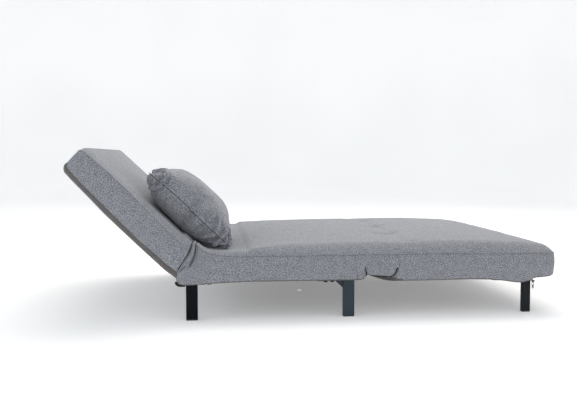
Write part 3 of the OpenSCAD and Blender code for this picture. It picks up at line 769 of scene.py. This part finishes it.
def ring_sequence(tops):
    """Columns of a ring as (kind, value, side): hem, -Y side, top, +Y side, hem and underside."""
    hem_angles = [math.pi / 2 * k / 3 for k in (3, 2, 1)]
    rises = np.concatenate([[0], np.linspace(0.05, 0.9, 17), [0.95, 0.98]])
    rounds = [0, 0.02, 0.05, 0.10, 0.20, 0.36, 0.56, 0.78]
    below = np.linspace(1, -1, len(tops) + 2 * len(rounds) - 2 * len(hem_angles))
    half = [("hem", a) for a in hem_angles] + [("side", r) for r in rises] + [("round", a) for a in rounds]
    left = [(kind, value, -1) for kind, value in half]
    right = [(kind, value, 1) for kind, value in reversed(half)]
    return left + [("top", q, 0) for q in tops] + right + [("under", q, 0) for q in below[1:-1]]


def columns(sequence, *kinds, side=None):
    """Columns of the given kinds, in order, on one side where side is -1 or 1."""
    return [j for j, c in enumerate(sequence) if c[0] in kinds and side in (None, c[2])]


def ring_points(stations, sequence):
    """[station, column, (x, y, z)] and each point's cloth coordinates."""
    hem, seam, top, middle = (stations.column(k) for k in ("hem", "seam", "top", "middle"))
    half, bow, slope_w, fan = (stations.column(k) for k in ("half", "bow", "slope_w", "fan"))
    side_len = np.linalg.norm(seam - hem, axis=1)
    up = (seam - hem) / side_len[:, None]
    across = np.stack([up[:, 1], -up[:, 0]], 1)
    gap = top - seam
    gap_len = np.linalg.norm(gap, axis=1)
    out_dir = gap / np.maximum(gap_len, 1e-6)[:, None]
    end_ring = gap_len < 1e-6
    out_dir[end_ring] = up[end_ring]
    on_rest = stations.on_backrest()
    back_u = (top - [0, AXIS_Z]) @ UP_SLOPE
    past_crease = smooth((top[:, 0] - 20) / 120)
    points = np.zeros((len(top), len(sequence), 3))
    for j, (kind, value, side) in enumerate(sequence):
        if kind == "hem":
            flat = hem + up * HEM_H * (1 - math.sin(value))
            y = side * (half - HEM_W + HEM_W * math.cos(value))
        elif kind == "side":
            bend = bow * math.sin(math.pi * value)
            flat = hem + up * (HEM_H + (side_len - HEM_H) * value)[:, None] + across * bend[:, None]
            groove = SEAM_GROOVE * bell(side_len * (1 - value), 2.2)
            y = side * (half + side_shape(flat[:, 0], flat[:, 1], value) + pleats(fan, value) - groove)
        elif kind == "round":
            rise = 1 - (1 - value) ** 1.9
            folds = pleats(fan, 1 + 0.2 * value)
            flat = seam + gap * rise + out_dir * (0.6 * folds * value)[:, None]
            groove = SEAM_GROOVE * bell(slope_w * value, 2.2)
            y = side * (half - slope_w * value - groove + folds * (1 - value))
        elif kind == "top":
            reach = half - slope_w
            y = value * reach
            edge = smooth((np.abs(y) - 410) / 70)[:, None]
            on_bed = bed_relief(top[:, 0], y, reach) * past_crease
            height = np.where(on_rest, back_relief(back_u, y, reach), on_bed) * np.clip(gap_len / 15, 0, 1)
            height = height + 0.6 * pleats(fan, 1.2) * smooth((np.abs(y) - 400) / 90)
            flat = middle + (top - middle) * edge + out_dir * height[:, None]
        else:
            flat = hem
            y = value * (half - HEM_W)
        points[:, j] = with_y(flat, y)
    ring_run = np.array([run_along(ring) for ring in points])
    cloth = np.zeros_like(points)
    cloth[..., 0] = run_along(top)[:, None]
    cloth[..., 1] = ring_run - ring_run[:, [len(sequence) // 2]]
    return points, cloth


def end_face(made, points, cloth, sequence, row, outwards, bulge):
    """Closes the mattress's end between the ring's two sides, its top and its underside."""
    left, right = columns(sequence, "side", side=-1), columns(sequence, "side", side=1)[::-1]
    hems = [columns(sequence, "hem", side=side)[::-1] for side in (-1, 1)]
    low = [left[0], *hems[0], *columns(sequence, "under")[::-1], *hems[1], right[0]]
    bottom, crest = points[row, low], points[row, columns(sequence, "round", "top")]
    left, right = points[row, left], points[row, right]
    low_share, share = ((line[:, 1] - line[0, 1]) / (line[-1, 1] - line[0, 1]) for line in (bottom, crest))
    rows = [bottom]
    for k in range(1, len(left)):
        rise = k / len(left)
        f = low_share + (share - low_share) * rise
        line = left[k] + (right[k] - left[k]) * f[:, None]
        swell = bulge * math.sin(math.pi * rise) ** 0.8 * (1 - np.abs(2 * f - 1) ** 7)
        line[:, [0, 2]] += np.outer(swell, outwards)
        rows.append(line)
    rows.append(crest)
    face = np.array(rows)
    weave = np.zeros_like(face)
    weave[..., 0] = cloth[row, 0, 0] + np.linspace(90, 0, len(rows))[:, None]
    weave[..., 1] = face[..., 1]
    made.grid(face, weave, lambda i, j: 1 if i == 0 else 0)


def mattress_piece(points, cloth, sequence, start, stop, has_underside):
    """The mattress from one station to another; has_underside says at which x its underside is closed."""
    made = Cloth()
    kinds = [kind for kind, _, _ in sequence]
    under = [kinds[j] == "under" or kinds[(j + 1) % len(kinds)] == "under" for j in range(len(kinds))]

    def slot(i, j):
        x, _, z = points[start + i, j]
        # Black lining in a strip along the gap round the tongue: painted shadow in the gap
        if kinds[j] == "side" and 598 < x < 720 and line_distance(x, z, TONGUE_GAP) < TONGUE_SHADOW_W:
            return 3
        # Rear cloth under the tongue and on the hems stands for the underside's cloth and is also painted
        # shade: the dark band under the tongue and along the lower edge
        cloth_and_shade_below_tongue = kinds[j] == "side" and 608 < x < 760 and z < along_line(x, TONGUE_SHADE)
        return 1 if cloth_and_shade_below_tongue or kinds[j] == "hem" or under[j] else 0

    def keep(i, j):
        return not under[j] or has_underside(points[start + i : start + i + 2, 0, 0].mean())

    made.grid(points[start : stop + 1], cloth[start : stop + 1], slot, keep, close=True)
    for j in (columns(sequence, "round", side=-1)[0], columns(sequence, "round", side=1)[-1]):
        line = points[start : stop + 1, j].copy()
        line[:, 1] += np.sign(line[:, 1]) * 0.3
        made.tube(line, SEAM_THREAD, 2)
    return made


def side_seam(made, line):
    """Thread along a seam on both side panels."""
    x, z = resampled(line, 60)[0].T
    low = along_line(x, HEM)
    rise = np.clip((z - low - HEM_H) / (SEAM_Z - low - HEM_H), 0, 1)
    out = HALF_W + side_shape(x, z, rise) + 0.6
    for sign in (-1, 1):
        made.tube(np.stack([x, sign * out, z], 1), SEAM_THREAD, 2)


def make_mattress():
    stations, (seat_cut, middle_cut, foot_cut) = make_stations()
    sequence = ring_sequence(top_columns())
    points, cloth = ring_points(stations, sequence)
    last = len(stations.rows) - 1
    # Slot 3, the black lining, is used here only as the painted shadow in the tongue's gap
    materials = [FABRIC, REAR, THREAD, LINING]

    def piece(start, stop, has_underside=lambda x: True):
        return mattress_piece(points, cloth, sequence, start, stop, has_underside)

    def close_end(made, row, outwards, bulge):
        end_face(made, points, cloth, sequence, row, outwards, bulge)
        line = points[row, columns(sequence, "round", "top")].copy()
        line[:, [0, 2]] += 0.9 * np.array(outwards)
        made.tube(line, SEAM_THREAD, 2)

    made = piece(0, seat_cut, lambda x: False)
    close_end(made, 0, UP_SLOPE, 10)
    for sign in (1, -1):
        rear = points[stations.on_backrest(), columns(sequence, "side", side=-1)[0]].copy()
        rear[:, 1] = sign * rear[:, 1] - sign * 0.4
        made.tube(rear, 0.9, 2)
    main = add_mesh("seat_and_back_cushion", made, materials)
    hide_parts("seat_foam", "seat_edge_foam", "seat_cover", "back_foam", "back_edge_foam",
                "back_cover", "crease_foam")
    start = on_back(112, 20)
    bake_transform(main)

    made = piece(seat_cut, middle_cut)
    side_seam(made, SEAT_FRONT_SEAM)
    near = add_mesh("fold_flap_seat_side", made, materials)
    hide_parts("fold_foam")
    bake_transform(near)

    made = piece(middle_cut, foot_cut)
    side_seam(made, FOOT_REAR_SEAM)
    far = add_mesh("fold_flap_foot_side", made, materials)
    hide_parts("fold_cover")
    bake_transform(far)

    made = piece(foot_cut, last, lambda x: not POCKET[0] < x < POCKET[2])
    close_end(made, last, (1, 0), 9)
    foot = add_mesh("foot_cushion", made, materials)
    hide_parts("foot_foam", "foot_edge_foam", "foot_under_pads", "foot_cover")
    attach(foot, "foot")


# ---------- tongues at the sides of the middle flap ----------


TONGUE_LEFT, TONGUE_RIGHT, TONGUE_TOP, TONGUE_R = 603, 712, 206, 27


def tongue_edges(x):
    """Lower and upper edge of the tongue at x."""
    drop = corner_drop(TONGUE_RIGHT - x, TONGUE_R)
    low = 141 if drop > 0 else np.interp(x, [TONGUE_LEFT, 612, 650, 689], [172, 148, 144, 141])
    return low + drop, TONGUE_TOP - 1.3 * drop


def make_tongues():
    rows, cols = 38, 26
    down, up = ((1 - np.cos(np.linspace(0, math.pi, count))) / 2 for count in (rows, cols))
    x = TONGUE_LEFT + (TONGUE_RIGHT - TONGUE_LEFT) * down[:, None] + 0 * up
    low, high = (np.array(edge)[:, None] for edge in zip(*(tongue_edges(at) for at in x[:, 0])))
    z = low + (high - low) * up
    inset = np.minimum.reduce([(z - low) / 13, (TONGUE_RIGHT - x) / 13, (x - TONGUE_LEFT) / 9])
    rim = np.clip(inset, 0, 1)
    swell = 11 * np.sqrt(1 - (1 - rim) ** 2)
    out = HALF_W - 6 + swell - 9 * smooth((z - 168) / 38) + 0.7 * ripple(x, 2 * z, 31) * rim
    for side, name in ((-1, "right"), (1, "left")):
        made = Cloth()
        face = np.stack([x, side * out, z], -1)
        made.grid(face, flat_places(x, z))
        for edge in (face[:, 0], face[-1, : cols // 2]):
            flat = flat_places(edge[:, 0], edge[:, 2])
            made.grid(np.stack([edge + [0, -side * 8, 2], edge]), np.stack([flat, flat]))
        tongue = add_mesh(f"fold_tongue_{name}", made, [FABRIC])
        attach(tongue, "link")


# ---------- rear panel ----------

# The panel's middle line as (u, v), and the rows that turn round the backrest's end as (u at the rim, u, v)
PANEL_REAR = np.array([(36, -34), (86, -38), (201, -37), (355, -33), (429, -27), (512, -22), (540, -19)])
PANEL_END = ((547, 549, -18), (553, 557, -13), (558, 563, -6), (561.5, 565.5, 1), (BACK_END, BACK_END, None))


def make_rear_panel():
    half, straight, inner = 524, 484, 500
    lug_side, lug_end = 513, 65
    made = Cloth()
    steps = np.concatenate([[36, 44, 54], np.linspace(lug_end, 540, 46)])
    rows = [(u, u, along_line(u, PANEL_REAR)) for u in steps]
    rows += PANEL_END
    rim_y = [half, 523.3, 521.5, 518.5, lug_side, 507, inner]
    y = np.concatenate([np.negative(rim_y), np.linspace(-straight, straight, 40), rim_y[::-1]])
    roll = np.sqrt(1 - (1 - np.clip((half - np.abs(y)) / 20, 0, 1)) ** 2)
    face = np.zeros((len(rows), len(y), 3))
    weave = np.zeros_like(face)
    for i, (rim_u, u, v) in enumerate(rows):
        rim_v = along_line(rim_u, BACK_REAR) + 5
        deep = rim_v if v is None else v
        sag = 1.4 * ripple(u, y, 41) * smooth((half - np.abs(y)) / 80) * smooth((BACK_END - u) / 60)
        face[i] = with_y(on_back(rim_u + (u - rim_u) * roll, rim_v + (deep - rim_v) * roll + sag), y)
        weave[i] = flat_places(u + 0 * y, y)
    made.grid(face, weave, 0, lambda i, j: rows[i][1] >= lug_end or min(abs(y[j]), abs(y[j + 1])) >= lug_side)
    panel = add_mesh("back_rear_panel", made, [REAR])
    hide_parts("back_panel")
    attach(panel, "backrest")


# ---------- cloth under the seat, behind the crease and at the pocket ----------


def make_dust_cover():
    """Dust sheet stapled to the seat's rails from below."""
    low, high = extent("seat_dust_cover")
    xx, yy = np.meshgrid(np.linspace(low[0], high[0], 60), np.linspace(low[1], high[1], 72), indexing="ij")
    inner = np.minimum.reduce([xx - low[0], high[0] - xx, yy - low[1], high[1] - yy])
    z = high[2] - 0.8 - 3.0 * smooth(inner / 160) + 0.5 * ripple(xx, yy, 3) * smooth(inner / 60)
    pitch = 42
    pucker = 0.8 * np.abs(np.sin(xx * math.pi / pitch)) * bell(np.minimum(yy - low[1], high[1] - yy), 14)
    cover = add_sheet("seat_dust_sheet", (xx, yy, z - pucker), (xx, yy), LINING, 0.5)
    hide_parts("seat_dust_cover")
    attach(cover, "seat")
    staples = Cloth()
    for side in (low[1] + 4, high[1] - 4):
        for at in np.arange(low[0] + pitch / 2, high[0] - 10, pitch):
            arch = [(at + dx, side, high[2] + dz) for dx, dz in ((-5, 1), (-5, -2.4), (5, -2.4), (5, 1))]
            staples.tube(arch, 0.45, sides=5, stitch=3.0)
    wire = add_mesh("dust_sheet_staples", staples, [FINISHES["zinc_steel"]])
    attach(wire, "seat")


def make_crease_lining():
    """Cloth that closes the crease from behind, from the rear panel to the seat's underside."""
    half = extent("seat_dust_cover")[1][1] - 2
    route = np.array([on_back(70, -15), on_back(50, -20), (-46, 141), (-36, 129), (-16, 125), (12, 126.5),
                      (42, 129.5)])
    line, run = resampled(route, 30)
    for _ in range(4):
        line[1:-1] = (line[:-2] + 2 * line[1:-1] + line[2:]) / 4
    down, yy = np.meshgrid(run, np.linspace(-half, half, 60), indexing="ij")
    xx, zz = line[:, [0]] + 0 * yy, line[:, [1]] + 0 * yy
    hang = 1.5 * ripple(down, yy, 8) * smooth((half - np.abs(yy)) / 40)
    lining = add_sheet("crease_lining", (xx, yy, zz + hang), (down, yy), REAR, 0.8)
    world(*on_back(62, -18))
    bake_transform(lining)


def make_pocket_flap():
    """Flap that the folding legs lie on; it hangs a little while they are out."""
    half, edge_w = HALF_W - HEM_W, 60
    x = np.linspace(POCKET[0] - 2, POCKET[1] - 1, 22)
    edge = np.linspace(half - edge_w, half, 10)
    y = np.concatenate([-edge[::-1], np.linspace(-half + edge_w, half - edge_w, 40)[1:-1], edge])
    xx, yy = np.meshgrid(x, y, indexing="ij")
    rim = along_line(xx, HEM) + 1
    low = extent("foot_pocket_flap")[0][2] + 1
    share = smooth((half - np.abs(yy)) / edge_w) * smooth((xx - x[0]) / 50)
    z = rim + (low - rim) * share + 0.7 * ripple(xx, yy, 19) * share
    flap = add_sheet("leg_pocket_flap", (xx, yy, z), (xx, yy), REAR, 1.2)
    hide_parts("foot_pocket_flap")
    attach(flap, "foot")
    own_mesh(flap)


def make_zip():
    """Zip tape along the pocket's front edge, with its teeth."""
    low, high = extent("foot_zip_tape")
    end_gap, tooth_pitch, tooth_z = 6, 2.6, 114.5
    middle = (low[0] + high[0]) / 2
    y = np.linspace(low[1] + end_gap, high[1] - end_gap, 160)
    section = ((low[0] + 1, 121.0), (low[0] + 2.5, 117.5), (middle - 1, 115.2), (middle + 2, 114.8))
    face = np.array([[(x, yy, z) for yy in y] for x, z in section])
    made = Cloth()
    made.grid(face, face)
    tape = add_mesh("zip_tape", made, [WEBBING], solidify=0.7)
    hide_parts("foot_zip_tape")
    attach(tape, "foot")
    teeth = Cloth()
    x = middle + 1.5
    for k, at in enumerate(np.arange(y[0] + end_gap, y[-1] - 4, tooth_pitch)):
        reach = 2.4 if k % 2 else -2.4
        teeth.tube([(x - reach, at, tooth_z), (x + reach * 0.4, at, tooth_z - 0.3)], 0.9, sides=5, stitch=9.0)
    row = add_mesh("zip_teeth", teeth, [FINISHES["zinc_steel"]])
    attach(row, "foot")


def make_webbing():
    """Elastic straps over the backrest's frame."""
    made = Cloth()
    half, width = extent("back_webbing")[1][1], 50
    across, along = np.linspace(-width / 2, width / 2, 7), np.linspace(-half, half, 50)
    for u in range(130, 456, 65):
        ww, yy = np.meshgrid(across, along, indexing="ij")
        v = 13.6 + 0.25 * np.sin(ww * math.pi / 6) - 3.0 * (1 - (yy / half) ** 2)
        made.grid(with_y(on_back(u + ww, v), yy), flat_places(ww + u, yy))
    straps = add_mesh("back_straps", made, [WEBBING], solidify=1.6)
    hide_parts("back_webbing")
    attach(straps, "backrest")


# ---------- pillow ----------

PILLOW_FLAT = (504.0, 425.0)
PILLOW_COLS, PILLOW_ROWS = 56, 46


def pillow_sheets():
    """Two flat panels sewn together at their edges: points, faces, flat places, and the loop of the edge."""
    w, h = PILLOW_FLAT
    cols, rows = PILLOW_COLS, PILLOW_ROWS
    rng = np.random.default_rng(7)
    verts, flat, index, faces = [], [], {}, []
    for side in (1, -1):
        for i, s in enumerate(np.linspace(-1, 1, cols + 1)):
            for j, t in enumerate(np.linspace(-1, 1, rows + 1)):
                rim = i in (0, cols) or j in (0, rows)
                if rim and side < 0:
                    index[side, i, j] = index[1, i, j]
                    continue
                index[side, i, j] = len(verts)
                lift = side * 34 * ((1 - s * s) * (1 - t * t)) ** 0.5
                lift += 0.0 if rim else rng.uniform(-0.4, 0.4)
                verts.append((s * w / 2, t * h / 2, lift))
                flat.append((s * w / 2, t * h / 2, side * 7.0))
    for side in (1, -1):
        for i in range(cols):
            for j in range(rows):
                quad = [index[side, i + a, j + b] for a, b in ((0, 0), (1, 0), (1, 1), (0, 1))]
                faces.append(quad if side > 0 else quad[::-1])
    loop = [(i, 0) for i in range(cols)] + [(cols, j) for j in range(rows)]
    loop += [(i, rows) for i in range(cols, 0, -1)] + [(0, j) for j in range(rows, 0, -1)]
    return np.array(verts), faces, np.array(flat), [index[1, i, j] for i, j in loop]


def inflate(verts, faces):
    """Cloth simulation: the sewn panels swell under pressure."""
    mesh = bpy.data.meshes.new("pillow_work")
    mesh.from_pydata((verts * MM).tolist(), [], faces)
    obj = add_object("pillow_work", mesh)
    cloth = obj.modifiers.new("cloth", "CLOTH")
    settings = cloth.settings
    settings.quality = 6
    settings.mass = 0.25
    settings.tension_stiffness = settings.compression_stiffness = 15
    settings.shear_stiffness = 6
    settings.bending_stiffness = 0.08
    settings.air_damping = 2.0
    settings.use_pressure = True
    settings.uniform_pressure_force = 9.0
    settings.effector_weights.gravity = 0
    cloth.collision_settings.use_collision = False
    frames = 36
    cloth.point_cache.frame_start, cloth.point_cache.frame_end = 1, frames
    for step in range(1, frames + 1):
        bpy.context.scene.frame_set(step)
    graph = bpy.context.evaluated_depsgraph_get()
    swollen = np.array([v.co for v in obj.evaluated_get(graph).data.vertices]) / MM
    bpy.data.objects.remove(obj)
    bpy.context.scene.frame_set(1)
    return swollen


def eased_corners(points, faces, flat):
    """Evens out the simulation's small crumples near the corners, and keeps the seam where it is."""
    edges = np.array(sorted({tuple(sorted(pair)) for f in faces for pair in zip(f, f[1:] + f[:1])}))
    inset = np.stack([PILLOW_FLAT[0] / 2 - np.abs(flat[:, 0]), PILLOW_FLAT[1] / 2 - np.abs(flat[:, 1])])
    share = 0.6 * smooth(1.7 - np.hypot(*inset) / 95) * (inset.min(0) > 1)
    count = np.bincount(edges.ravel(), minlength=len(points))
    for _ in range(7):
        total = np.zeros_like(points)
        for a, b in (edges.T, edges.T[::-1]):
            np.add.at(total, a, points[b])
        points = points + share[:, None] * (total / count[:, None] - points)
    return points


# Creases of the pillow: [start, heading, length, depth, width] on its flat panels, from the middle,
# where -a faces the bed's near side and +b is up the backrest
PILLOW_CREASES = (
    ((-252, 150), 0.16, 86, 17, 5.2), ((-215, 212), -1.05, 78, 14, 5.2), ((-240, 178), -0.75, 44, 8, 5),
    ((-252, -96), 0.25, 84, 12, 5.0), ((-252, -140), 0.50, 96, 16, 5.2), ((-252, -170), 0.30, 74, 14, 5.0),
    ((-252, -194), 0.75, 88, 15, 5.2), ((-236, -212), 1.05, 80, 14, 5.0), ((-206, -212), 1.35, 72, 12, 5.2),
    ((-160, -212), 1.2, 52, 7, 6), ((-252, -50), -0.1, 56, 6, 6), ((-90, -212), 1.7, 46, 5, 7),
    ((252, 160), 3.4, 66, 12, 5.5), ((222, 212), 4.2, 60, 10, 5.5), ((252, -168), 2.7, 74, 12, 5.5),
    ((216, -212), 1.9, 66, 10, 5.5), ((180, -212), 1.6, 52, 7, 6),
)


def pillow_relief(flat):
    """How deep the creases are at places on the flat panels."""
    depth = np.zeros(len(flat))
    for k, ((ax, ay), heading, reach, deep, width) in enumerate(PILLOW_CREASES):
        dx, dy = flat[:, 0] - ax, flat[:, 1] - ay
        ahead = dx * math.cos(heading) + dy * math.sin(heading)
        aside = -dx * math.sin(heading) + dy * math.cos(heading) - 0.0022 * (-1) ** k * ahead**2
        fade = smooth(1 - ahead / reach) * smooth((ahead + 10) / 8)
        ridges = bell(np.abs(aside) - 2.4 * width, 1.2 * width)
        depth += deep * fade * (bell(aside, width) - 0.45 * ridges)
    rim = np.minimum(PILLOW_FLAT[0] / 2 - np.abs(flat[:, 0]), PILLOW_FLAT[1] / 2 - np.abs(flat[:, 1]))
    waves = 1.1 * ripple(flat[:, 0], flat[:, 1], 61) * smooth(rim / 40)
    return depth * smooth(rim / 6) + 1.2 * bell(rim - 2.5, 3) + waves


def sink_along_normals(obj, depth_at):
    """Moves each vertex inwards by depth_at its cloth coordinates, in millimetres."""
    mesh = obj.data
    count = len(mesh.vertices)
    flat, at, normal = (np.zeros(count * 3) for _ in range(3))
    mesh.attributes["cloth"].data.foreach_get("vector", flat)
    mesh.vertices.foreach_get("co", at)
    mesh.vertices.foreach_get("normal", normal)
    depth = depth_at(flat.reshape(-1, 3) / MM)
    at = at.reshape(-1, 3) - normal.reshape(-1, 3) * (depth * MM)[:, None]
    mesh.vertices.foreach_set("co", at.ravel())
    mesh.update()


def make_pillow():
    verts, faces, flat, loop = pillow_sheets()
    swollen = eased_corners(inflate(verts, faces), faces, flat)
    middle = (swollen.max(0) + swollen.min(0)) / 2
    swollen = (swollen - middle) * (np.array(PILLOW_SIZE) / (swollen.max(0) - swollen.min(0)))
    crown = PILLOW_SIZE[2] / 2
    swollen[:, 2] = np.sign(swollen[:, 2]) * crown * (np.abs(swollen[:, 2]) / crown) ** 0.84

    def pressed(height, floor, soft=5.0):
        """Heights flattened against a floor."""
        return floor + soft * np.logaddexp(0, (height - floor) / soft)

    u, v = PILLOW_AT[0] + swollen[:, 1], pressed(PILLOW_AT[1] + swollen[:, 2], PILLOW_REST_V)
    places = on_back(u, v)
    places[:, 1] = pressed(places[:, 1], PILLOW_SEAT_Z)
    made = Cloth()
    made.verts = [tuple(p) for p in with_y(places, PILLOW_Y + swollen[:, 0])]
    made.cloth = [tuple(p) for p in flat]
    made.faces = [tuple(f) for f in faces]
    made.slots = [0] * len(faces)
    pillow = add_mesh("loose_pillow", made, [FABRIC], levels=2, sharp=loop)
    sink_along_normals(pillow, pillow_relief)
    seam = Cloth()
    seam.tube([made.verts[k] for k in loop + loop[:1]], 1.8, sides=7)
    welt = add_mesh("pillow_seam", seam, [PIPING])
    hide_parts("pillow_cover", "pillow_insert")
    for piece in (pillow, welt):
        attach(piece, "pillow")
        world(*on_back(354, PILLOW_AT[1]))
        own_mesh(piece)


# ---------- the CAD nodes that stay ----------


def finish_cad_nodes():
    slots = {part["node"]: part["material_slot"] for part in frame["record"]["subparts"]}
    for name, obj in frame["nodes"].items():
        if obj.hide_render:
            continue
        finish = OWN_FINISH.get(name, FINISHES[slots[name]])
        obj.data.materials.clear()
        obj.data.materials.append(finish)


make_camera()
make_lights()
make_floor()
make_mattress()
make_tongues()
make_rear_panel()
make_dust_cover()
make_crease_lining()
make_pocket_flap()
make_zip()
make_webbing()
make_pillow()
finish_cad_nodes()
